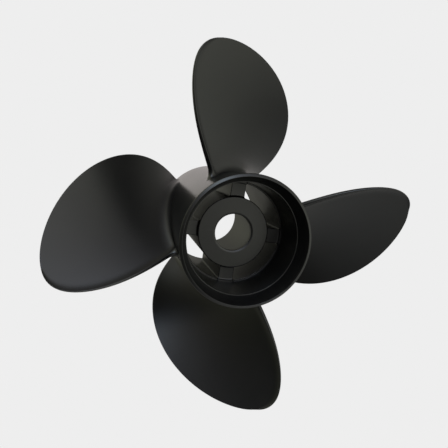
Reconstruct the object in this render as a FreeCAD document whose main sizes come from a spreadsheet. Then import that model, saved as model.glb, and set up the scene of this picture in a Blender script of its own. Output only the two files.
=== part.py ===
"""Four-blade outboard-motor propeller with through-hub exhaust.

Frame: origin on the shaft axis in the plane of the hub's front end, +Z along the shaft, towards the aft end.
Right-handed: seen from aft the propeller drives ahead when it turns clockwise, so each blade leads with its
clockwise edge. Ribs stand at 45 degrees to X and Y. Lengths are millimetres and angles are degrees.
"""

import FreeCAD, Part
import math
import os
from types import SimpleNamespace

import Sketcher
from FreeCAD import Placement, Rotation, Vector

DIMENSIONS = [
    ("hub_length", 155.5, "outer hub, front end to rim"),
    ("front_outer_radius", 55.7, "outer hub at its front end"),
    ("front_inner_radius", 49.0, "exhaust passage at the front end"),
    ("waist_height", 141.0, "where the barrel ends and the flare starts"),
    ("waist_outer_radius", 53.4, "outer hub at the start of the flare"),
    ("waist_inner_radius", 49.9, "exhaust passage at the start of the flare"),
    ("ledge_height", 103.0, "ledge inside the barrel, aft of the ribs"),
    ("ledge_inner_radius", 46.6, "exhaust passage just ahead of the ledge"),
    ("ledge_outer_radius", 48.1, "exhaust passage just aft of the ledge"),
    ("rim_outer_radius", 58.9, "aft rim, outside"),
    ("rim_inner_radius", 55.7, "aft rim, inside"),
    ("rim_drop", 2.0, "how much lower the rim's outside is than its inside"),
    ("flare_start_radius", 50.5, "inside of the flare where it starts, a small ledge off the barrel"),
    ("flare_arc_radius", 26.0, "curve of the flare in section"),
    ("rim_outer_round", 1.0, "round on the outer edge of the rim"),
    ("rim_inner_round", 0.3, "round on its inner edge"),
    ("inner_hub_face", 107.0, "aft face of the inner hub"),
    ("inner_hub_front", 5.0, "front end of the inner hub"),
    ("inner_hub_radius", 33.5, "inner hub at its aft face"),
    ("inner_hub_front_radius", 32.0, "inner hub at its front end"),
    ("hub_edge_round", 0.8, "round on the aft edge of the inner hub"),
    ("drive_bore_radius", 27.5, "bore that the drive hub slides into"),
    ("lip_bore_radius", 17.3, "hole in the lip that the drive hub stops against"),
    ("lip_thickness", 6.0, "lip at the aft end of the bore"),
    ("lip_chamfer_width", 1.6, "chamfer on the lip's hole, across the face"),
    ("lip_chamfer_depth", 0.6, "how deep it goes"),
    ("rib_count", 4, "ribs between the inner hub and the barrel"),
    ("rib_first_angle", 45.0, "first rib, from +X"),
    ("rib_face", 102.8, "aft face of the ribs, almost level with the ledge"),
    ("rib_front", 12.0, "front edge of the ribs"),
    ("rib_face_half", 6.9, "half the rib's thickness at its aft face"),
    ("rib_front_half", 4.6, "half its thickness at its front edge"),
    ("wall_overlap", 2.0, "how deep the rib's ends start inside the hubs' walls"),
    ("rib_fillet", 1.5, "fillet where a rib meets a hub"),
    ("blade_count", 4, "blades"),
    ("blade_first_angle", 38.5, "middle of the first blade's root, from +X"),
    ("tip_radius", 171.5, "13.5 inch diameter over the blade tips"),
    ("root_radius", 54.0, "radius where the blade outline starts"),
    ("pitch", 463.0, "advance in one turn, 18.2 inches"),
    ("blade_root_height", 53.6, "middle of the blade's root above the front end"),
    ("rake_slope", 0.46, "aft lean of the blade at its root, per mm of radius"),
    ("rake_change", -0.073, "change of that lean from root to tip"),
    ("half_width_root", 31.3, "half width of the blade outline: first control value"),
    ("half_width_inner", 56.2, "second control value"),
    ("half_width_outer", 83.6, "third control value"),
    ("half_width_tip", 81.1, "fourth control value"),
    ("skew_inner", 1.3, "turn of the blade's middle line: second control value"),
    ("skew_outer", 5.4, "third control value"),
    ("skew_tip", 20.0, "fourth control value"),
    ("root_thickness", 12.0, "blade at its root"),
    ("tip_thickness", 3.4, "blade near its tip"),
    ("leading_edge_root", 2.4, "thickness of the leading edge at the root"),
    ("leading_edge_tip", 1.6, "thickness of the leading edge near the tip"),
    ("trailing_edge_root", 4.6, "thickness of the trailing edge at the root"),
    ("trailing_edge_tip", 2.2, "thickness of the trailing edge near the tip"),
    ("cup_width", 12.0, "strip along the trailing edge that is bent aft"),
    ("cup_height", 1.6, "how far its edge is bent"),
    ("leading_root_fillet", 4.0, "blade root fillet at the leading edge"),
    ("trailing_root_fillet", 11.0, "blade root fillet at the trailing edge"),
    ("face_root_fillet", 13.0, "blade root fillet in the middle of each face"),
    ("edge_thinning", 0.7, "how much less the trailing edge's fillet thickens the blade than lengthens it"),
]

SHEET = "Dimensions"

# Where the poles of a blade section lie across it, from the leading edge, 0, to the trailing edge, 1.
CHORD_STATIONS = [0.0, 0.03, 0.10, 0.22, 0.36, 0.50, 0.64, 0.77, 0.87, 0.94, 0.98, 1.0]
# Where the rows of poles lie in the root fillet, in fillet radii above the barrel.
FILLET_STATIONS = [-0.5, 0.0, 0.1, 0.25, 0.5, 0.8, 1.2]
# Rows of poles between the root fillet and the tip, and how far out the last one lies, 1 at the tip.
OUTER_ROWS = 16
LAST_ROW = 0.9995
# Power by which a blade's thickness falls off from root to tip.
THINNING = 1.3
# Power by which edge_thinning sets in towards the trailing edge.
EDGE_THINNING_POWER = 2.5
# Two sizes closer than this count as the same.
TOLERANCE = 0.01

doc = FreeCAD.newDocument("Propeller")


def make_sheet():
    """Write the driving dimensions into the sheet: name, value and meaning, one to a row."""
    sheet = doc.addObject("Spreadsheet::Sheet", SHEET)
    for row, (alias, value, meaning) in enumerate(DIMENSIONS, start=1):
        sheet.set(f"A{row}", alias)
        sheet.set(f"B{row}", str(value))
        sheet.setAlias(f"B{row}", alias)
        sheet.set(f"C{row}", meaning)
    doc.recompute()
    return sheet


def cell(expression):
    """The expression with each dimension's name turned into a reference to its cell."""
    words = expression.split(" ")
    names = {alias for alias, _, _ in DIMENSIONS}
    return " ".join(f"{SHEET}.{word}" if word in names else word for word in words)


def value(expression):
    """The number that an expression of dimensions stands for now."""
    total, sign = 0.0, 1.0
    for word in expression.split(" "):
        if word in "+-":
            sign = -1.0 if word == "-" else 1.0
        else:
            total += sign * (getattr(size, word) if hasattr(size, word) else float(word))
    return total


def origin_plane(body, role):
    """One of the body's own origin planes."""
    return next(item for item in body.Origin.OriginFeatures if item.Role == role)


def new_sketch(body, name, role):
    """An empty sketch on one of the body's origin planes."""
    sketch = body.newObject("Sketcher::SketchObject", name)
    sketch.AttachmentSupport = (origin_plane(body, role), [""])
    sketch.MapMode = "FlatFace"
    return sketch


def bind(sketch, constraint, expression):
    """Add a constraint and bind its size to an expression of dimensions."""
    index = sketch.addConstraint(constraint)
    sketch.setExpression(f"Constraints[{index}]", cell(expression))


def draw_profile(sketch, corners, arcs=None):
    """Draw a closed profile. corners holds (across, up) expressions, and arcs maps the number of a side,
    which starts at the corner of that number, to its radius expression and the way it bulges."""
    arcs = arcs or {}
    points = [Vector(value(across), value(up), 0) for across, up in corners]
    sides = []
    for number, start in enumerate(points):
        end = points[(number + 1) % len(points)]
        if number in arcs:
            radius, bulge = arcs[number]
            chord = end - start
            half = chord.Length / 2
            rise = value(radius) - math.sqrt(value(radius) ** 2 - half**2)
            across = Vector(-chord.y, chord.x, 0).normalize() * (bulge * rise)
            sides.append(Part.Arc(start, start + chord / 2 + across, end))
        else:
            sides.append(Part.LineSegment(start, end))
    sketch.addGeometry(sides, False)
    starts = []
    ends = []
    for number, side in enumerate(sides):
        # A sketch keeps every arc anticlockwise, so an arc drawn clockwise starts at its second point.
        turned = number in arcs and (sketch.getPoint(number, 1) - points[number]).Length > TOLERANCE
        starts.append(2 if turned else 1)
        ends.append(1 if turned else 2)
    for number in range(len(sides)):
        following = (number + 1) % len(sides)
        sketch.addConstraint(
            Sketcher.Constraint("Coincident", number, ends[number], following, starts[following])
        )
    for number, (across, up) in enumerate(corners):
        for kind, expression in (("DistanceX", across), ("DistanceY", up)):
            size_now = value(expression)
            constraint = Sketcher.Constraint(kind, -1, 1, number, starts[number], size_now)
            bind(sketch, constraint, expression)
    for number, (radius, _) in arcs.items():
        bind(sketch, Sketcher.Constraint("Radius", number, value(radius)), radius)


def turned_body(label, corners, arcs=None):
    """A piece turned round the shaft axis from its half section, as a body and its revolution."""
    body = doc.addObject("PartDesign::Body", label)
    body.Label = label
    sketch = new_sketch(body, f"{label}_section", "XZ_Plane")
    draw_profile(sketch, corners, arcs)
    turn = body.newObject("PartDesign::Revolution", f"{label}_turn")
    turn.Profile = sketch
    turn.ReferenceAxis = (sketch, ["V_Axis"])
    turn.Angle = 360.0
    sketch.Visibility = False
    doc.recompute()
    return body, turn


def ring_edges(shape, height, radius):
    """Names of the circular edges of a turned shape at a height, with the given radius."""
    names = []
    for number, edge in enumerate(shape.Edges, start=1):
        curve = edge.Curve
        if not isinstance(curve, Part.Circle) or abs(curve.Center.z - height) > TOLERANCE:
            continue
        if abs(curve.Radius - radius) < TOLERANCE:
            names.append(f"Edge{number}")
    return names


def round_edges(body, base, edges, dimension):
    """A round on some edges of the body's last feature, with its radius bound to a cell."""
    feature = body.newObject("PartDesign::Fillet", f"{base.Name}_round")
    feature.Base = (base, edges)
    feature.setExpression("Radius", cell(dimension))
    doc.recompute()
    return feature


def make_barrel():
    """Outer hub tube, open at both ends, with the ledge inside it aft of the ribs."""
    body, _ = turned_body(
        "barrel",
        [
            ("front_inner_radius", "0"),
            ("front_outer_radius", "0"),
            ("waist_outer_radius", "waist_height"),
            ("waist_inner_radius", "waist_height"),
            ("ledge_outer_radius", "ledge_height"),
            ("ledge_inner_radius", "ledge_height"),
        ],
    )
    return body


def make_diffuser_ring():
    """Flared aft end of the outer hub. Its rim slopes to the outside and has rounded edges."""
    body, turn = turned_body(
        "diffuser_ring",
        [
            ("flare_start_radius", "waist_height"),
            ("waist_outer_radius", "waist_height"),
            ("rim_outer_radius", "hub_length - rim_drop"),
            ("rim_inner_radius", "hub_length"),
        ],
        {1: ("flare_arc_radius", 1), 3: ("flare_arc_radius", -1)},
    )
    outer_edge = ring_edges(turn.Shape, size.hub_length - size.rim_drop, size.rim_outer_radius)
    rounded = round_edges(body, turn, outer_edge, "rim_outer_round")
    inner_edge = ring_edges(rounded.Shape, size.hub_length, size.rim_inner_radius)
    round_edges(body, rounded, inner_edge, "rim_inner_round")
    return body


def make_inner_hub():
    """Tube round the drive hub: a wide bore from the front, and a lip at its aft end."""
    body, turn = turned_body(
        "inner_hub",
        [
            ("drive_bore_radius", "inner_hub_front"),
            ("inner_hub_front_radius", "inner_hub_front"),
            ("inner_hub_radius", "inner_hub_face"),
            ("lip_bore_radius + lip_chamfer_width", "inner_hub_face"),
            ("lip_bore_radius", "inner_hub_face - lip_chamfer_depth"),
            ("lip_bore_radius", "inner_hub_face - lip_thickness"),
            ("drive_bore_radius", "inner_hub_face - lip_thickness"),
        ],
    )
    outer_edge = ring_edges(turn.Shape, size.inner_hub_face, size.inner_hub_radius)
    round_edges(body, turn, outer_edge, "hub_edge_round")
    return body


def make_rib_block():
    """Straight web from inside the inner hub's wall to inside the barrel's, thicker aft than in front."""
    body = doc.addObject("PartDesign::Body", "rib_block")
    sketch = new_sketch(body, "rib_section", "YZ_Plane")
    sketch.setExpression("AttachmentOffset.Base.z", cell("drive_bore_radius + wall_overlap"))
    draw_profile(
        sketch,
        [
            ("0 - rib_front_half", "rib_front"),
            ("rib_front_half", "rib_front"),
            ("rib_face_half", "rib_face"),
            ("0 - rib_face_half", "rib_face"),
        ],
    )
    web = body.newObject("PartDesign::Pad", "rib_web")
    web.Profile = sketch
    web.setExpression("Length", cell("front_inner_radius - drive_bore_radius"))
    sketch.Visibility = False
    doc.recompute()
    return body


def rib_corner_edges(shape):
    """Numbers of the edges along which the rib's two sides meet the hubs, on a shape that joins them."""
    numbers = []
    for number, edge in enumerate(shape.Edges, start=1):
        low, high = sorted(vertex.Z for vertex in edge.Vertexes[:2]) if len(edge.Vertexes) > 1 else (0, 0)
        if abs(low - size.rib_front) > TOLERANCE or abs(high - size.rib_face) > TOLERANCE:
            continue
        reach = size.rib_face_half + TOLERANCE
        if all(vertex.X > 0 and abs(vertex.Y) <= reach for vertex in edge.Vertexes):
            numbers.append(number)
    return numbers


def make_rib(number, block, barrel, inner_hub):
    """One web between the hubs, with a fillet along each side where it meets them."""
    label = f"rib_{number}"
    joined = doc.addObject("Part::MultiFuse", f"{label}_joined")
    joined.Shapes = [block, barrel, inner_hub]
    joined.Refine = False
    doc.recompute()
    filleted = doc.addObject("Part::Fillet", f"{label}_filleted")
    filleted.Base = joined
    filleted.Edges = [(edge, size.rib_fillet, size.rib_fillet) for edge in rib_corner_edges(joined.Shape)]
    inside_barrel = doc.addObject("Part::Cut", f"{label}_inside_barrel")
    inside_barrel.Base = filleted
    inside_barrel.Tool = barrel
    rib = doc.addObject("Part::Cut", label)
    rib.Base = inside_barrel
    rib.Tool = inner_hub
    rib.Label = label
    angle = f"rib_first_angle + {number - 1} * 360 / rib_count"
    rib.setExpression("Placement.Rotation.Angle", cell(angle))
    doc.recompute()
    return rib


def blend(first, second, along):
    """The value between two others, first where along is 0 and second where it is 1."""
    return first + (second - first) * along


def bezier(controls, along):
    """Cubic with four control values, along it from 0 to 1."""
    back = 1.0 - along
    first, second, third, fourth = controls
    return (
        first * back**3
        + 3 * second * along * back**2
        + 3 * third * along**2 * back
        + fourth * along**3
    )


def barrel_radius(height):
    """Outside of the barrel at a height."""
    taper = size.waist_outer_radius - size.front_outer_radius
    return size.front_outer_radius + taper * height / size.waist_height


def fillet_flare(radius, height, fillet):
    """How far a root fillet stands out from the blade at a radius, where the barrel is tangent to it."""
    drop = min(max(fillet - (radius - barrel_radius(height)), 0.0), fillet)
    return fillet - math.sqrt(fillet**2 - drop**2)


def section_poles(radius):
    """Poles of one blade section on its cylinder, leading edge to trailing edge: those of the pressure
    face and those of the back. Both start and end in the middle of the edges' thickness."""
    span = max((radius - size.root_radius) / (size.tip_radius - size.root_radius), 0.0)
    widths = (size.half_width_root, size.half_width_inner, size.half_width_outer, size.half_width_tip)
    half_width = bezier(widths, span) * math.sqrt(1.0 - span**2)
    skew = bezier((0.0, size.skew_inner, size.skew_outer, size.skew_tip), span)
    slope = size.pitch / (2 * math.pi * radius)
    lean = size.rake_slope + size.rake_change * span
    middle_height = (
        size.blade_root_height + size.pitch * skew / 360 + lean * (radius - size.root_radius)
    )
    chord_length = 2 * half_width * math.hypot(1.0, slope)
    along = Vector(1.0, slope, 0).normalize()
    aft = Vector(-along.y, along.x, 0)
    thickness = blend(size.tip_thickness, size.root_thickness, (1 - span) ** THINNING)
    leading_edge = blend(size.leading_edge_root, size.leading_edge_tip, span)
    trailing_edge = blend(size.trailing_edge_root, size.trailing_edge_tip, span)

    def on_cylinder(flat):
        angle = math.radians(skew) + flat.x / radius
        return Vector(radius * math.cos(angle), radius * math.sin(angle), middle_height + flat.y)

    pressure = []
    back = []
    for station in CHORD_STATIONS:
        base = along * ((station - 0.5) * chord_length)
        edge = blend(leading_edge, trailing_edge, station)
        depth = edge + (thickness - edge) * 4 * station * (1 - station)
        to_edge = (1 - station) * chord_length
        cup = size.cup_height * max(1 - to_edge / size.cup_width, 0.0) ** 2
        ends_fillet = blend(size.leading_root_fillet, size.trailing_root_fillet, station)
        fillet = blend(ends_fillet, size.face_root_fillet, math.sin(math.pi * station))
        flare = fillet_flare(radius, middle_height + base.y, fillet)
        end = {CHORD_STATIONS[0]: -1, CHORD_STATIONS[-1]: 1}.get(station, 0)
        out = along * (end * flare)
        lift = flare * (1 - size.edge_thinning * station**EDGE_THINNING_POWER)
        face_point = base + aft * (cup + lift) + out
        back_point = base + aft * (cup - depth - lift) + out
        if end == 1:
            pressure.append(on_cylinder(face_point))
            back.append(on_cylinder(back_point))
        nose = on_cylinder((face_point + back_point) / 2)
        if end:
            pressure.append(nose)
            back.append(nose)
        if end != 1:
            pressure.append(on_cylinder(face_point))
            back.append(on_cylinder(back_point))
    return pressure, back


def smooth_surface(poles):
    """Cubic surface over a grid of poles, with its border on the border poles' own curves."""
    knots = []
    mults = []
    for count in (len(poles), len(poles[0])):
        spans = count - 3
        knots.append([float(knot) for knot in range(spans + 1)])
        mults.append([4] + [1] * (spans - 1) + [4])
    surface = Part.BSplineSurface()
    surface.buildFromPolesMultsKnots(poles, mults[0], mults[1], knots[0], knots[1], False, False, 3, 3)
    return surface


def make_blade_shape():
    """One blade as a solid: pressure face and back joined round the edges, cut off at the barrel."""
    largest_fillet = size.face_root_fillet
    radii = [size.root_radius + station * largest_fillet for station in FILLET_STATIONS]
    span_length = size.tip_radius - size.root_radius
    first_turn = math.asin((radii[-1] - size.root_radius) / span_length)
    last_turn = math.asin(LAST_ROW)
    for row in range(1, OUTER_ROWS + 1):
        turn = first_turn + (last_turn - first_turn) * row / OUTER_ROWS
        radii.append(size.root_radius + span_length * math.sin(turn))
    sections = [section_poles(radius) for radius in radii]
    face = smooth_surface([pressure for pressure, _ in sections])
    rear = smooth_surface([back for _, back in sections])
    faces = [face.toShape(), rear.toShape()]
    last_knot = face.getUKnots()[-1]
    for knot in (0.0, last_knot):
        faces.append(Part.makeRuledSurface(face.uIso(knot).toShape(), rear.uIso(knot).toShape()))
    shell = Part.makeShell(faces)
    shell.sewShape(1e-3)
    solid = Part.makeSolid(Part.Shell(shell.Faces))
    if solid.Volume < 0:
        solid.reverse()
    core = Part.makeCone(size.front_outer_radius, size.waist_outer_radius, size.waist_height)
    return max(solid.cut(core).Solids, key=lambda piece: piece.Volume)


def make_blade(number, shape):
    """One blade, turned to its place round the shaft axis."""
    label = f"blade_{number}"
    blade = doc.addObject("Part::Feature", label)
    blade.Shape = shape
    blade.Label = label
    angle = size.blade_first_angle + (number - 1) * 360 / size.blade_count
    blade.Placement = Placement(Vector(0, 0, 0), Rotation(Vector(0, 0, 1), angle))
    return blade


def check_document():
    """Stop if any object of the document failed to recompute."""
    doc.recompute()
    for item in doc.Objects:
        if "Invalid" in item.State or "Error" in item.State:
            raise RuntimeError(f"{item.Name} failed to recompute: {item.State}")


def export_piece(piece):
    """Write one piece to its STEP file, once its shape is known to be a valid solid."""
    shape = piece.Shape
    if shape.isNull() or not shape.isValid() or len(shape.Solids) != 1:
        raise RuntimeError(f"{piece.Label} has no single valid solid")
    shape.exportStep(os.path.join("parts", f"{piece.Label}.step"))
    print(f"{piece.Label}: {shape.Volume / 1000:.1f} cm3")


sheet = make_sheet()
size = SimpleNamespace(**{alias: float(sheet.get(alias)) for alias, _, _ in DIMENSIONS})

barrel = make_barrel()
diffuser_ring = make_diffuser_ring()
inner_hub = make_inner_hub()
rib_block = make_rib_block()
pieces = [barrel, diffuser_ring, inner_hub]
for number in range(1, int(size.rib_count) + 1):
    pieces.append(make_rib(number, rib_block, barrel, inner_hub))
blade_shape = make_blade_shape()
for number in range(1, int(size.blade_count) + 1):
    pieces.append(make_blade(number, blade_shape))

check_document()
os.makedirs("parts", exist_ok=True)
for piece in pieces:
    export_piece(piece)
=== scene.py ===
"""Looks of the four-blade outboard propeller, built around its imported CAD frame.

Metres, in the frame's own axes: +Z is the shaft, aft end up, and the propeller stands on its front end.
Every piece is a closed mesh made in code, with the cast fillets and rounded edges that the plain solids
leave out. All of them are covered by one satin black paint.
"""

import math

import bmesh
import bpy
from mathutils import Matrix, Vector


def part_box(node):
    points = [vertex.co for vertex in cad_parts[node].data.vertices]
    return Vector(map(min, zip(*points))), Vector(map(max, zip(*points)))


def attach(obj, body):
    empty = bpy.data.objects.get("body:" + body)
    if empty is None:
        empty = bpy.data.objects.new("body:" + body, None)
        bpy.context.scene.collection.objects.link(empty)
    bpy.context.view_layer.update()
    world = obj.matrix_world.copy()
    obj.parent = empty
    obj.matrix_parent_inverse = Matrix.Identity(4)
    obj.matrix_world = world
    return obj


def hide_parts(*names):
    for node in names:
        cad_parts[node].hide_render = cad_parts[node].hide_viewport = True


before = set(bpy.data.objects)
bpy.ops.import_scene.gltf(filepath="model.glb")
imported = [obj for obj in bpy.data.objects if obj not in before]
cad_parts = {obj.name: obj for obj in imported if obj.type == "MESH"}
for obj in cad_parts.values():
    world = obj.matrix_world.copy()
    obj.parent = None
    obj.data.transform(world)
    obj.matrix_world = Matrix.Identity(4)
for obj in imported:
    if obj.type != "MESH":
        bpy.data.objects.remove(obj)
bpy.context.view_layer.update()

MM = 0.001
TURN = 2 * math.pi

# ---------------------------------------------------------------- sizes taken from the frame

barrel_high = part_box("barrel")[1]
ring_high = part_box("diffuser_ring")[1]
hub_low, hub_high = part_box("inner_hub")
rib_low, rib_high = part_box("rib_1")

FRONT_OUTER = barrel_high.x
WAIST_HEIGHT = barrel_high.z
RIM_HEIGHT = ring_high.z
HUB_RADIUS = hub_high.x
HUB_FACE = hub_high.z
HUB_FRONT = hub_low.z
RIB_FACE = rib_high.z
RIB_FRONT = rib_low.z

# ---------------------------------------------------------------- sizes of the casting

# Outer hub. Its front end is at height 0, its waist is where the diffuser ring starts.
WAIST_OUTER = 53.4 * MM
WAIST_INNER = 49.9 * MM
FRONT_INNER = 49.0 * MM
HUB_END_ROUND = 0.8 * MM
LEDGE_HEIGHT = 103.0 * MM
LEDGE_INNER = 46.6 * MM
LEDGE_OUTER = 48.1 * MM
LEDGE_INNER_ROUND = 0.2 * MM
LEDGE_OUTER_ROUND = 0.15 * MM
WAIST_ROUND = 0.2 * MM
# The flat of the aft end has a point this far outside the ring's inner edge, for even shading.
WAIST_HOLD = 0.4 * MM

# Diffuser ring, which carries on from the barrel's aft end.
FLARE_START = 50.5 * MM
FLARE_OUTER_BULGE = 0.9 * MM
FLARE_INNER_BULGE = -0.3 * MM
FLARE_OUTER_STEPS = 16
FLARE_INNER_STEPS = 12
RIM_OUTER = 58.9 * MM
RIM_INNER = 55.7 * MM
RIM_DROP = 2.0 * MM
RIM_OUTER_ROUND = 1.2 * MM
RIM_INNER_ROUND = 0.35 * MM
RIM_ROUND_STEPS = 8

# Inner hub, with the lip at its aft face.
HUB_FRONT_RADIUS = 32.0 * MM
BORE_RADIUS = 27.5 * MM
HUB_CROWN = 0.35 * MM
HUB_FACE_ROUND = 0.9 * MM
LIP_RADIUS = 17.3 * MM
LIP_CHAMFER_WIDTH = 1.6 * MM
LIP_CHAMFER_DEPTH = 0.6 * MM
LIP_THICKNESS = 6.0 * MM
LIP_CHAMFER_ROUND = 0.2 * MM
LIP_FRONT_ROUND = 0.5 * MM
BORE_END_ROUND = 1.5 * MM

# Ribs. Their sides taper from the face to the front.
RIB_ANGLES = [45, 135, 225, 315]
RIB_FACE_HALF = 6.9 * MM
RIB_FRONT_HALF = 4.6 * MM
RIB_FACE_ROUND = 0.5 * MM
RIB_FRONT_ROUND = 1.0 * MM
RIB_FILLET = 1.5 * MM
RIB_FILLET_STEPS = 8
# The points round a rib's section are about this far apart on its flats.
RIB_POINT_SPACING = 4.0 * MM

# Blades. A size with two values has them at the root and at the tip. HALF_WIDTHS and SKEWS (in degrees)
# are the controls of cubics from the root to the tip.
BLADE_ANGLES = [38.5, 128.5, 218.5, 308.5]
TIP_RADIUS = 171.1 * MM
ROOT_RADIUS = 54.0 * MM
PITCH = 463.0 * MM
BLADE_ROOT_HEIGHT = 53.6 * MM
RAKE_SLOPE = 0.46
RAKE_CHANGE = -0.073
HALF_WIDTHS = [31.3 * MM, 56.2 * MM, 83.6 * MM, 81.1 * MM]
SKEWS = [0.0, 1.3, 5.4, 20.0]
ROOT_THICKNESS = 12.0 * MM
TIP_THICKNESS = 3.4 * MM
THICKNESS_POWER = 1.3
LEADING_EDGE = [2.4 * MM, 1.6 * MM]
TRAILING_EDGE = [4.6 * MM, 2.2 * MM]
CUP_WIDTH = 7.0 * MM
CUP_HEIGHT = 1.6 * MM
# The cup and the extra thickness in the middle fade out near the tip, where the chord is shorter than
# this.
TIP_FADE = 40.0 * MM
LEADING_FILLET = 4.0 * MM
TRAILING_FILLET = 11.0 * MM
FACE_FILLET = 13.0 * MM
# The root fillet hardly thickens the trailing edge: it sweeps the edge out along the hub instead.
EDGE_THINNING = 0.7
EDGE_THINNING_POWER = 2.5

# How far a fillet's edge lies under the surface that it runs out on, and how far on its piece goes
# below that surface.
SUNK = 0.03 * MM
BURIED = 1.5 * MM

TURNED_SEGMENTS = 256
SHARP_ANGLE = math.radians(50)
# A point this far from each end of a round keeps the flat beside it flat in the shading.
HOLD = 0.35 * MM
# It is never further off than this part of the flat.
HOLD_SHARE = 8


# ---------------------------------------------------------------- mesh helpers

def new_piece(name, vertices, faces, node):
    """A closed mesh that stands for one CAD node and moves with the casting. It is smooth except over
    edges where its faces meet at more than SHARP_ANGLE."""
    mesh = bpy.data.meshes.new(name)
    mesh.from_pydata(vertices, [], faces)
    mesh.validate()
    edit = bmesh.new()
    edit.from_mesh(mesh)
    bmesh.ops.recalc_face_normals(edit, faces=edit.faces)
    for edge in edit.edges:
        edge.smooth = edge.calc_face_angle(0.0) < SHARP_ANGLE
    edit.to_mesh(mesh)
    edit.free()
    piece = bpy.data.objects.new(name, mesh)
    bpy.context.scene.collection.objects.link(piece)
    for polygon in mesh.polygons:
        polygon.use_smooth = True
    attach(piece, "root")
    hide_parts(node)
    return piece


def grid_faces(rows, columns, close_rows=False):
    """Quads over a grid of rows, each a closed loop of columns. close_rows joins last row to first."""
    faces = []
    for row in range(rows if close_rows else rows - 1):
        following = (row + 1) % rows
        for column in range(columns):
            side = (column + 1) % columns
            faces.append(
                (
                    row * columns + column,
                    row * columns + side,
                    following * columns + side,
                    following * columns + column,
                )
            )
    return faces


def rounded_outline(corners, steps=6):
    """Points round a closed outline whose corners are (x, y, radius of the round)."""
    points = []
    for number, (x, y, radius) in enumerate(corners):
        corner = Vector((x, y))
        before = Vector(corners[number - 1][:2]) - corner
        after = Vector(corners[(number + 1) % len(corners)][:2]) - corner
        hold_before = min(HOLD, before.length / HOLD_SHARE)
        hold_after = min(HOLD, after.length / HOLD_SHARE)
        before.normalize()
        after.normalize()
        opening = before.angle(after)
        if radius == 0:
            points.append(corner)
            continue
        reach = radius / math.tan(opening / 2)
        centre = corner + (before + after).normalized() * (radius / math.sin(opening / 2))
        first = corner + before * reach - centre
        last = corner + after * reach - centre
        sweep = math.pi - opening
        points.append(corner + before * (reach + hold_before))
        turn = 1 if first.x * last.y - first.y * last.x > 0 else -1
        for step in range(steps + 1):
            angle = turn * sweep * step / steps
            cosine, sine = math.cos(angle), math.sin(angle)
            points.append(centre + Vector((first.x * cosine - first.y * sine,
                                           first.x * sine + first.y * cosine)))
        points.append(corner + after * (reach + hold_after))
    return points


def turned_piece(name, node, outline):
    """A ring turned round the shaft from a closed outline of (radius, height) points."""
    vertices = []
    for segment in range(TURNED_SEGMENTS):
        angle = TURN * segment / TURNED_SEGMENTS
        for radius, height in outline:
            vertices.append((radius * math.cos(angle), radius * math.sin(angle), height))
    faces = grid_faces(TURNED_SEGMENTS, len(outline), close_rows=True)
    return new_piece(name, vertices, faces, node)


def arc_between(start, end, sagitta, steps):
    """Points of a shallow arc from start to end, bulging to its left by the sagitta, ends left out."""
    chord = end - start
    left = Vector((-chord.y, chord.x)).normalized()
    return [
        start + chord * (step / steps) + left * (4 * sagitta * (step / steps) * (1 - step / steps))
        for step in range(1, steps)
    ]


# ---------------------------------------------------------------- hub, ring and ribs

def make_barrel():
    """Outer hub tube, with the ledge inside it."""
    outline = rounded_outline(
        [
            (FRONT_INNER, 0, HUB_END_ROUND),
            (FRONT_OUTER, 0, HUB_END_ROUND),
            (WAIST_OUTER, WAIST_HEIGHT, 0),
            (FLARE_START + WAIST_HOLD, WAIST_HEIGHT, 0),
            (WAIST_INNER, WAIST_HEIGHT, WAIST_ROUND),
            (LEDGE_OUTER, LEDGE_HEIGHT, LEDGE_OUTER_ROUND),
            (LEDGE_INNER, LEDGE_HEIGHT, LEDGE_INNER_ROUND),
        ]
    )
    return turned_piece("barrel_casting", "barrel", outline)


def make_diffuser_ring():
    """Flared aft end. Its rim slopes to the outside, with a round outer edge and a crisp inner one."""
    start_outside = Vector((WAIST_OUTER, WAIST_HEIGHT))
    start_inside = Vector((FLARE_START, WAIST_HEIGHT))
    rim_outside = RIM_HEIGHT - RIM_DROP
    outside = arc_between(
        start_outside, Vector((RIM_OUTER, rim_outside)), FLARE_OUTER_BULGE, FLARE_OUTER_STEPS
    )
    inside = arc_between(
        Vector((RIM_INNER, RIM_HEIGHT)), start_inside, FLARE_INNER_BULGE, FLARE_INNER_STEPS
    )
    outside = [point for point in outside if point.y < rim_outside - RIM_OUTER_ROUND - HOLD]
    corners = [(point.x, point.y, 0) for point in [start_inside, start_outside] + outside]
    corners += [(RIM_OUTER, rim_outside, RIM_OUTER_ROUND), (RIM_INNER, RIM_HEIGHT, RIM_INNER_ROUND)]
    inside = [point for point in inside if point.y < RIM_HEIGHT - RIM_INNER_ROUND - HOLD]
    corners += [(point.x, point.y, 0) for point in inside]
    outline = rounded_outline(corners, steps=RIM_ROUND_STEPS)
    return turned_piece("diffuser_ring_casting", "diffuser_ring", outline)


def make_inner_hub():
    """Inner hub: wide bore from the front, lip with a smaller hole at its aft face."""
    inside = HUB_FACE - LIP_THICKNESS
    outline = rounded_outline(
        [
            (BORE_RADIUS, HUB_FRONT, HUB_END_ROUND),
            (HUB_FRONT_RADIUS, HUB_FRONT, HUB_END_ROUND),
            (HUB_RADIUS, HUB_FACE - HUB_CROWN, HUB_FACE_ROUND),
            (LIP_RADIUS + LIP_CHAMFER_WIDTH, HUB_FACE, LIP_CHAMFER_ROUND),
            (LIP_RADIUS, HUB_FACE - LIP_CHAMFER_DEPTH, LIP_CHAMFER_ROUND),
            (LIP_RADIUS, inside, LIP_FRONT_ROUND),
            (BORE_RADIUS, inside, BORE_END_ROUND),
        ]
    )
    return turned_piece("inner_hub_casting", "inner_hub", outline)


def lerp(start, end, along):
    return start + (end - start) * along


def hub_outside(height):
    """Radius of the inner hub's outside at a height."""
    return lerp(HUB_FRONT_RADIUS, HUB_RADIUS, (height - HUB_FRONT) / (HUB_FACE - HUB_FRONT))


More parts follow.
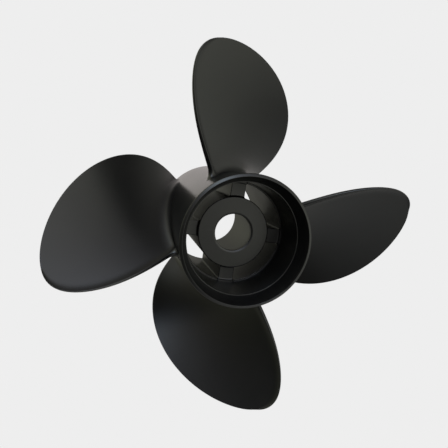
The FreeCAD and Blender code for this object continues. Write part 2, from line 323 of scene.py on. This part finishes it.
def wall_inside(height):
    """Radius of the barrel's inside at a height ahead of the ledge."""
    return lerp(FRONT_INNER, LEDGE_INNER, min(height / LEDGE_HEIGHT, 1.0))


def barrel_outside(height):
    """Radius of the barrel's outside at a height."""
    return lerp(FRONT_OUTER, WAIST_OUTER, height / WAIST_HEIGHT)


def outline_normals(points):
    """Outward unit normals of a closed anticlockwise outline."""
    normals = []
    for number in range(len(points)):
        along = points[(number + 1) % len(points)] - points[number - 1]
        normals.append(Vector((along.y, -along.x)).normalized())
    return normals


def make_rib(number, degrees):
    """One web with cast fillets where it meets the hubs, lofted from the inner hub to the barrel."""
    section = rounded_outline(
        [
            (-RIB_FRONT_HALF, RIB_FRONT, RIB_FRONT_ROUND),
            (RIB_FRONT_HALF, RIB_FRONT, RIB_FRONT_ROUND),
            (RIB_FACE_HALF, RIB_FACE, RIB_FACE_ROUND),
            (-RIB_FACE_HALF, RIB_FACE, RIB_FACE_ROUND),
        ]
    )
    dense = []
    for index, point in enumerate(section):
        following = section[(index + 1) % len(section)]
        count = max(1, round((following - point).length / RIB_POINT_SPACING))
        dense += [point.lerp(following, step / count) for step in range(count)]
    section = dense
    normals = outline_normals(section)
    quarter = [math.pi / 2 * step / RIB_FILLET_STEPS for step in range(RIB_FILLET_STEPS + 1)]
    fillet = [
        (RIB_FILLET * (1 - math.cos(angle)), RIB_FILLET * (1 - math.sin(angle))) for angle in quarter
    ]
    rows = [("hub", -BURIED, RIB_FILLET)]
    rows += [("hub", lift, flare) for lift, flare in fillet]
    rows += [("wall", lift, flare) for lift, flare in fillet[::-1]]
    rows += [("wall", -BURIED, RIB_FILLET)]
    turn = math.radians(degrees)
    vertices = []
    for end, lift, flare in rows:
        for point, normal in zip(section, normals):
            across = point.x + normal.x * flare
            height = point.y + normal.y * flare
            if end == "hub":
                radius = hub_outside(height) + lift - SUNK
            else:
                radius = wall_inside(height) - lift + SUNK
            outward = math.sqrt(radius**2 - across**2)
            x = outward * math.cos(turn) - across * math.sin(turn)
            y = outward * math.sin(turn) + across * math.cos(turn)
            vertices.append((x, y, height))
    count = len(section)
    faces = grid_faces(len(rows), count)
    faces.append(tuple(range(count))[::-1])
    faces.append(tuple(range(len(vertices) - count, len(vertices))))
    return new_piece(f"rib_{number}_casting", vertices, faces, f"rib_{number}")


# ---------------------------------------------------------------- blades

def bezier(controls, along):
    """Cubic with four control values, along it from 0 to 1."""
    back = 1.0 - along
    first, second, third, fourth = controls
    return (
        first * back**3
        + 3 * second * along * back**2
        + 3 * third * along**2 * back
        + fourth * along**3
    )


FACE_COLUMNS = 44
EDGE_STEPS = 8
FILLET_ROWS = 10
BLADE_ROWS = 64
# A trailing edge is cut nearly square: how far its end stands out, in half thicknesses, and how blunt
# it is.
TRAILING_REACH = 0.7
BLUNT = 0.6


def section_columns():
    """Round a blade section from the leading edge: (place along the chord, level through the thickness
    from 1 on the pressure face to -1 on the back, reach past the edge, outward normal)."""
    columns = []
    for step in range(FACE_COLUMNS + 1):
        station = 0.5 - 0.5 * math.cos(math.pi * step / FACE_COLUMNS)
        columns.append((station, 1.0, 0.0, 0.0, 1.0))
    for step in range(1, EDGE_STEPS):
        angle = math.pi * step / EDGE_STEPS
        level = math.copysign(abs(math.cos(angle)) ** BLUNT, math.cos(angle))
        reach = TRAILING_REACH * math.sin(angle) ** BLUNT
        columns.append((1.0, level, reach, math.sin(angle), math.cos(angle)))
    for step in range(FACE_COLUMNS, -1, -1):
        station = 0.5 - 0.5 * math.cos(math.pi * step / FACE_COLUMNS)
        columns.append((station, -1.0, 0.0, 0.0, -1.0))
    for step in range(1, EDGE_STEPS):
        angle = math.pi * step / EDGE_STEPS
        columns.append((0.0, -math.cos(angle), -math.sin(angle), -math.sin(angle), -math.cos(angle)))
    return columns


def blade_point(radius, column, flare):
    """One point of the blade's skin, before the blade is turned to its place."""
    station, level, reach, normal_along, normal_aft = column
    span = min(max((radius - ROOT_RADIUS) / (TIP_RADIUS - ROOT_RADIUS), 0.0), 1.0)
    half_width = bezier(HALF_WIDTHS, span) * math.sqrt(1.0 - span**2)
    skew = bezier(SKEWS, span)
    slope = PITCH / (TURN * radius)
    lean = RAKE_SLOPE + RAKE_CHANGE * span
    middle_height = BLADE_ROOT_HEIGHT + PITCH * skew / 360 + lean * (radius - ROOT_RADIUS)
    chord = 2 * half_width * math.hypot(1.0, slope)
    along = Vector((1.0, slope)).normalized()
    aft = Vector((-along.y, along.x))
    thickness = lerp(TIP_THICKNESS, ROOT_THICKNESS, (1 - span) ** THICKNESS_POWER)
    leading_edge, trailing_edge = lerp(*LEADING_EDGE, span), lerp(*TRAILING_EDGE, span)
    edge = lerp(leading_edge, trailing_edge, station)
    across = lerp(leading_edge / 2 - chord / 2, chord / 2 - TRAILING_REACH * trailing_edge / 2, station)
    fade = min(chord / TIP_FADE, 1.0)
    fade = fade**2 * (3 - 2 * fade)
    depth = edge + (thickness - edge) * 4 * station * (1 - station) * fade
    rounding = min((TIP_RADIUS - radius) / (edge / 2), 1.0)
    depth_scale = math.sqrt(max(1 - (1 - rounding) ** 2, 0.0))
    cup = CUP_HEIGHT * max(1 - (1 - station) * chord / CUP_WIDTH, 0.0) ** 2 * fade
    middle = cup - depth / 2
    flat = along * (across + reach * edge / 2 + normal_along * flare)
    thin = 1 - EDGE_THINNING * station**EDGE_THINNING_POWER
    flat += aft * (middle + level * depth / 2 * depth_scale + normal_aft * flare * thin)
    angle = math.radians(skew) + flat.x / radius
    return Vector((radius * math.cos(angle), radius * math.sin(angle), middle_height + flat.y))


def root_fillet(column):
    """Radius of the root fillet at one place round the section."""
    station = column[0]
    middle = math.sin(math.pi * station)
    return lerp(lerp(LEADING_FILLET, TRAILING_FILLET, station), FACE_FILLET, middle)


def root_cap(count):
    """Faces that close the buried end of a blade. They run straight across its thickness, so that they
    stay inside the barrel's wall."""
    back = 2 * FACE_COLUMNS + EDGE_STEPS
    faces = [(back - column, back - column - 1, column + 1, column) for column in range(FACE_COLUMNS)]
    faces.append(tuple(range(FACE_COLUMNS + EDGE_STEPS, FACE_COLUMNS - 1, -1)))
    faces.append((0, *range(count - 1, back - 1, -1)))
    return faces


def make_blade(number, degrees):
    """One blade with its root fillet, which ends tangent to the barrel."""
    columns = section_columns()
    turn = Matrix.Rotation(math.radians(degrees), 3, "Z")
    rows = []
    for row in range(-1, FILLET_ROWS + 1):
        angle = math.pi / 2 * max(row, 0) / FILLET_ROWS
        points = []
        for column in columns:
            fillet = root_fillet(column)
            flare = fillet * (1 - math.sin(angle))
            height = blade_point(ROOT_RADIUS, column, flare).z
            surface = barrel_outside(height) - (BURIED if row < 0 else SUNK)
            radius = surface + fillet * (1 - math.cos(angle))
            points.append(blade_point(radius, column, flare))
        rows.append(points)
    for row in range(1, BLADE_ROWS):
        along = math.sin(math.pi / 2 * row / BLADE_ROWS)
        points = []
        for column in columns:
            fillet = root_fillet(column)
            height = blade_point(ROOT_RADIUS, column, 0.0).z
            start = barrel_outside(height) - SUNK + fillet
            radius = lerp(start, TIP_RADIUS, along)
            points.append(blade_point(radius, column, 0.0))
        rows.append(points)
    vertices = [turn @ point for points in rows for point in points]
    count = len(columns)
    faces = grid_faces(len(rows), count)
    faces += root_cap(count)
    last = len(vertices) - count
    vertices.append(turn @ blade_point(TIP_RADIUS, (0.5, 0.0, 0.0, 0.0, 0.0), 0.0))
    for column in range(count):
        faces.append((last + column, last + (column + 1) % count, last + count))
    return new_piece(f"blade_{number}_casting", vertices, faces, f"blade_{number}")


# ---------------------------------------------------------------- paint

PAINT_DARK = (0.0022, 0.0022, 0.0026, 1)
PAINT_LIGHT = (0.0042, 0.0041, 0.0040, 1)
# Greyer film on sharp convex edges: thin paint there, and a painted highlight along the edges.
PAINT_EDGE_WEAR_AND_HIGHLIGHT = (0.016, 0.016, 0.016, 1)
PAINT_ROUGHNESS = [0.29, 0.34]
GRAIN_ROUGHNESS = 0.02
PEEL_DEPTH = 0.012 * MM
GRAIN_DEPTH = 0.003 * MM
# Each noise: waves per metre, detail and roughness.
PEEL_NOISE = (420.0, 2.0, 0.5)
GRAIN_NOISE = (2600.0, 2.0, 0.6)
CLOUD_NOISE = (38.0, 4.0, 0.6)
HANDLING_NOISE = (11.0, 3.0, 0.55)
# The parts of a noise's range that are spread over the whole effect.
NOISE_SPREAD = (0.3, 0.7)
WEAR_AND_HIGHLIGHT_SPREAD = (0.38, 0.62)
LEAST_WEAR_AND_HIGHLIGHT = 0.25
# Pointiness at which an edge starts to get the greyer film, thin-paint wear and painted highlight
# together, and at which it is fully so.
EDGE_WEAR_AND_HIGHLIGHT_POINTINESS = (0.53, 0.62)


def ramp(nodes, links, source, low, high, to_low, to_high):
    """Map a value from one range to another, held at both ends."""
    mapping = nodes.new("ShaderNodeMapRange")
    for name, number in (("From Min", low), ("From Max", high), ("To Min", to_low), ("To Max", to_high)):
        mapping.inputs[name].default_value = number
    links.new(source, mapping.inputs["Value"])
    return mapping.outputs["Result"]


def noise(nodes, links, place, scale, detail, roughness):
    """Noise in the object's own coordinates. scale is in waves per metre."""
    texture = nodes.new("ShaderNodeTexNoise")
    texture.inputs["Scale"].default_value = scale
    texture.inputs["Detail"].default_value = detail
    texture.inputs["Roughness"].default_value = roughness
    links.new(place, texture.inputs["Vector"])
    return texture.outputs["Fac"]


def make_paint():
    """Satin black paint baked over a sand-blasted casting: faint orange peel, fine grain, thin dull
    patches from handling, and a slightly greyer film along sharp edges, which is thin paint there and
    also a painted highlight that lightens the edges."""
    material = bpy.data.materials.new("satin_black_paint")
    material.use_nodes = True
    nodes = material.node_tree.nodes
    links = material.node_tree.links
    shader = nodes["Principled BSDF"]
    place = nodes.new("ShaderNodeTexCoord").outputs["Object"]

    peel = noise(nodes, links, place, *PEEL_NOISE)
    grain = noise(nodes, links, place, *GRAIN_NOISE)
    clouds = noise(nodes, links, place, *CLOUD_NOISE)
    handling = noise(nodes, links, place, *HANDLING_NOISE)

    # Mask of sharp convex edges for the greyer film: thin-paint wear, and a painted highlight on the
    # edges.
    pointiness = nodes.new("ShaderNodeNewGeometry").outputs["Pointiness"]
    edge = ramp(nodes, links, pointiness, *EDGE_WEAR_AND_HIGHLIGHT_POINTINESS, 0.0, 1.0)
    worn_and_highlit = nodes.new("ShaderNodeMath")
    worn_and_highlit.operation = "MULTIPLY"
    links.new(edge, worn_and_highlit.inputs[0])
    links.new(ramp(nodes, links, clouds, *WEAR_AND_HIGHLIGHT_SPREAD, LEAST_WEAR_AND_HIGHLIGHT, 1.0), worn_and_highlit.inputs[1])

    film = nodes.new("ShaderNodeMix")
    film.data_type = "RGBA"
    film.inputs["A"].default_value = PAINT_DARK
    film.inputs["B"].default_value = PAINT_LIGHT
    links.new(ramp(nodes, links, clouds, *NOISE_SPREAD, 0.0, 1.0), film.inputs["Factor"])
    colour = nodes.new("ShaderNodeMix")
    colour.data_type = "RGBA"
    colour.inputs["B"].default_value = PAINT_EDGE_WEAR_AND_HIGHLIGHT
    links.new(film.outputs["Result"], colour.inputs["A"])
    links.new(worn_and_highlit.outputs["Value"], colour.inputs["Factor"])
    links.new(colour.outputs["Result"], shader.inputs["Base Color"])

    dull = nodes.new("ShaderNodeMath")
    dull.operation = "ADD"
    links.new(ramp(nodes, links, handling, *NOISE_SPREAD, *PAINT_ROUGHNESS), dull.inputs[0])
    grainy = ramp(nodes, links, grain, *NOISE_SPREAD, -GRAIN_ROUGHNESS, GRAIN_ROUGHNESS)
    links.new(grainy, dull.inputs[1])
    links.new(dull.outputs["Value"], shader.inputs["Roughness"])

    relief = None
    for height, depth in ((peel, PEEL_DEPTH), (grain, GRAIN_DEPTH)):
        bump = nodes.new("ShaderNodeBump")
        bump.inputs["Distance"].default_value = depth
        bump.inputs["Strength"].default_value = 1.0
        links.new(height, bump.inputs["Height"])
        if relief:
            links.new(relief, bump.inputs["Normal"])
        relief = bump.outputs["Normal"]
    links.new(relief, shader.inputs["Normal"])
    return material


# ---------------------------------------------------------------- stage

BACKGROUND = 0.855
DOME_RADIUS = 9.0
DOME_SEGMENTS = 48
DOME_RINGS = 24
FLOOR_HALF = 6.0
# The floor lies this far under the hub's front end, so that the two don't share a plane.
FLOOR_DROP = 0.0003

# Radiance of the room above the horizon and of the far table below it.
ROOM = (0.0, 0.0, 0.0)
TABLE = (0.17, 0.165, 0.15)
# Heights of a direction, as parts of its length, over which the one turns into the other.
HORIZON = (-0.12, 0.12)
# The table near the hub, where it is brightest: its radiance, and the radii between which it comes up
# and between which it fades out again. Under the hub it is dark. It lies just above the floor.
NEAR_TABLE = (0.84, 0.77, 0.77)
NEAR_TABLE_INNER = (0.0535, 0.0555)
NEAR_TABLE_OUTER = (0.08, 0.11)
NEAR_TABLE_DROP = 0.0002
# Soft lights round the propeller: azimuth from +X and elevation in degrees, tightness, and radiance.
SOFT_LIGHTS = [
    (43, 49, 7.5, (1.10, 1.08, 1.22)),
    (330, 46, 4.9, (1.47, 1.49, 1.27)),
    (80, 18, 7.8, (0.22, 0.15, 0.14)),
    (245, 16, 4.7, (0.55, 0.56, 0.55)),
    (320, 0, 13.7, (0.36, 0.39, 0.35)),
    (120, -20, 4.0, (0.75, 0.78, 0.57)),
    (266, -32, 19.0, (0.39, 0.41, 0.39)),
    (80, 15, 40.0, (1.22, 1.36, 1.30)),
    (66, 30, 40.0, (2.8, 3.4, 3.4)),
    (60, 45, 40.0, (1.6, 2.1, 3.0)),
]


def backdrop(name, mesh):
    """A plain pale surface that only the camera sees, so that it adds no light of its own."""
    piece = bpy.data.objects.new(name, mesh)
    bpy.context.scene.collection.objects.link(piece)
    material = bpy.data.materials.new(name)
    material.use_nodes = True
    shader = material.node_tree.nodes["Principled BSDF"]
    shader.inputs["Base Color"].default_value = (0, 0, 0, 1)
    shader.inputs["Roughness"].default_value = 1.0
    shader.inputs["Specular IOR Level"].default_value = 0.0
    shader.inputs["Emission Color"].default_value = (1, 1, 1, 1)
    shader.inputs["Emission Strength"].default_value = BACKGROUND
    mesh.materials.append(material)
    piece.visible_diffuse = False
    piece.visible_glossy = False
    piece.visible_transmission = False
    piece.visible_shadow = False


def square(name, half, height):
    """Level square mesh round the shaft axis."""
    mesh = bpy.data.meshes.new(name)
    corners = [
        (-half, -half, height),
        (half, -half, height),
        (half, half, height),
        (-half, half, height),
    ]
    mesh.from_pydata(corners, [], [(0, 1, 2, 3)])
    return mesh


def make_near_table():
    """Light that the table throws up round the hub. The camera doesn't see it."""
    mesh = square("near_table", NEAR_TABLE_OUTER[1], -NEAR_TABLE_DROP)
    table = bpy.data.objects.new("near_table", mesh)
    bpy.context.scene.collection.objects.link(table)
    material = bpy.data.materials.new("near_table")
    material.use_nodes = True
    nodes = material.node_tree.nodes
    links = material.node_tree.links
    nodes.remove(nodes["Principled BSDF"])
    radius = nodes.new("ShaderNodeVectorMath")
    radius.operation = "LENGTH"
    links.new(nodes.new("ShaderNodeTexCoord").outputs["Object"], radius.inputs[0])
    strength = nodes.new("ShaderNodeMath")
    strength.operation = "MULTIPLY"
    distance = radius.outputs["Value"]
    links.new(ramp(nodes, links, distance, *NEAR_TABLE_INNER, 0.0, 1.0), strength.inputs[0])
    links.new(ramp(nodes, links, distance, *NEAR_TABLE_OUTER, 1.0, 0.0), strength.inputs[1])
    glow = nodes.new("ShaderNodeEmission")
    glow.inputs["Color"].default_value = (*NEAR_TABLE, 1)
    links.new(strength.outputs["Value"], glow.inputs["Strength"])
    both = nodes.new("ShaderNodeAddShader")
    links.new(glow.outputs["Emission"], both.inputs[0])
    links.new(nodes.new("ShaderNodeBsdfTransparent").outputs["BSDF"], both.inputs[1])
    links.new(both.outputs["Shader"], nodes["Material Output"].inputs["Surface"])
    mesh.materials.append(material)
    table.visible_camera = False
    table.visible_shadow = False


def make_stage():
    """Pale floor that the propeller stands on, and a pale dome round it."""
    backdrop("pale_floor", square("floor", FLOOR_HALF, -FLOOR_DROP))
    dome = bpy.data.meshes.new("dome")
    edit = bmesh.new()
    bmesh.ops.create_uvsphere(edit, u_segments=DOME_SEGMENTS, v_segments=DOME_RINGS, radius=DOME_RADIUS)
    edit.to_mesh(dome)
    edit.free()
    backdrop("pale_dome", dome)


def soft_light(nodes, links, direction, azimuth, elevation, tightness, colour):
    """A round soft light in the world: its radiance falls off evenly with the angle from its middle."""
    turn, lift = math.radians(azimuth), math.radians(elevation)
    middle = (math.cos(lift) * math.cos(turn), math.cos(lift) * math.sin(turn), math.sin(lift))
    cosine = nodes.new("ShaderNodeVectorMath")
    cosine.operation = "DOT_PRODUCT"
    cosine.inputs[1].default_value = middle
    links.new(direction, cosine.inputs[0])
    power = nodes.new("ShaderNodeMath")
    power.operation = "MULTIPLY_ADD"
    power.inputs[1].default_value = tightness
    power.inputs[2].default_value = -tightness
    links.new(cosine.outputs["Value"], power.inputs[0])
    falloff = nodes.new("ShaderNodeMath")
    falloff.operation = "EXPONENT"
    links.new(power.outputs["Value"], falloff.inputs[0])
    light = nodes.new("ShaderNodeVectorMath")
    light.operation = "SCALE"
    light.inputs[0].default_value = colour
    links.new(falloff.outputs["Value"], light.inputs["Scale"])
    return light.outputs["Vector"]


def make_lights():
    """Plain soft studio light: a dim table below the horizon, a dark room above it, and soft lights all
    round."""
    world = bpy.data.worlds.new("studio")
    world.use_nodes = True
    nodes = world.node_tree.nodes
    links = world.node_tree.links
    direction = nodes.new("ShaderNodeTexCoord").outputs["Generated"]
    height = nodes.new("ShaderNodeSeparateXYZ")
    links.new(direction, height.inputs["Vector"])
    base = nodes.new("ShaderNodeMix")
    base.data_type = "RGBA"
    base.inputs["A"].default_value = (*TABLE, 1)
    base.inputs["B"].default_value = (*ROOM, 1)
    links.new(ramp(nodes, links, height.outputs["Z"], *HORIZON, 0.0, 1.0), base.inputs["Factor"])
    total = base.outputs["Result"]
    for light in SOFT_LIGHTS:
        added = nodes.new("ShaderNodeVectorMath")
        added.operation = "ADD"
        links.new(total, added.inputs[0])
        links.new(soft_light(nodes, links, direction, *light), added.inputs[1])
        total = added.outputs["Vector"]
    links.new(total, nodes["Background"].inputs["Color"])
    nodes["Background"].inputs["Strength"].default_value = 1.0
    bpy.context.scene.world = world


# ---------------------------------------------------------------- camera

# The lens and the sensor's width are in millimetres. Then come how far the camera leans from the shaft
# axis and towards where, its roll, aim and distance.
LENS = 43.0
SENSOR_WIDTH = 36.0
LEAN = math.radians(16.42)
TOWARDS = math.radians(107.4)
ROLL = math.radians(37.07)
AIM = Vector((-1.6, 10.1, 100.0)) * MM
DISTANCE = 501.4 * MM


def make_camera():
    """Camera aft of the propeller, leaning to one side of the shaft axis."""
    data = bpy.data.cameras.new("camera")
    data.lens = LENS
    data.sensor_width = SENSOR_WIDTH
    camera = bpy.data.objects.new("camera", data)
    bpy.context.scene.collection.objects.link(camera)
    back = Vector(
        (math.sin(LEAN) * math.cos(TOWARDS), math.sin(LEAN) * math.sin(TOWARDS), math.cos(LEAN))
    )
    up = (Vector((0, 1, 0)) - back * back.y).normalized()
    right = up.cross(back)
    level = Matrix((right, up, back)).transposed()
    turned = level @ Matrix.Rotation(-ROLL, 3, "Z")
    camera.matrix_world = Matrix.Translation(AIM + back * DISTANCE) @ turned.to_4x4()
    bpy.context.scene.camera = camera


make_camera()
pieces = [make_barrel(), make_diffuser_ring(), make_inner_hub()]
for number, degrees in enumerate(RIB_ANGLES, start=1):
    pieces.append(make_rib(number, degrees))
for number, degrees in enumerate(BLADE_ANGLES, start=1):
    pieces.append(make_blade(number, degrees))
paint = make_paint()
for piece in pieces:
    piece.data.materials.append(paint)
make_stage()
make_near_table()
make_lights()
bpy.context.scene.view_settings.view_transform = "Standard"
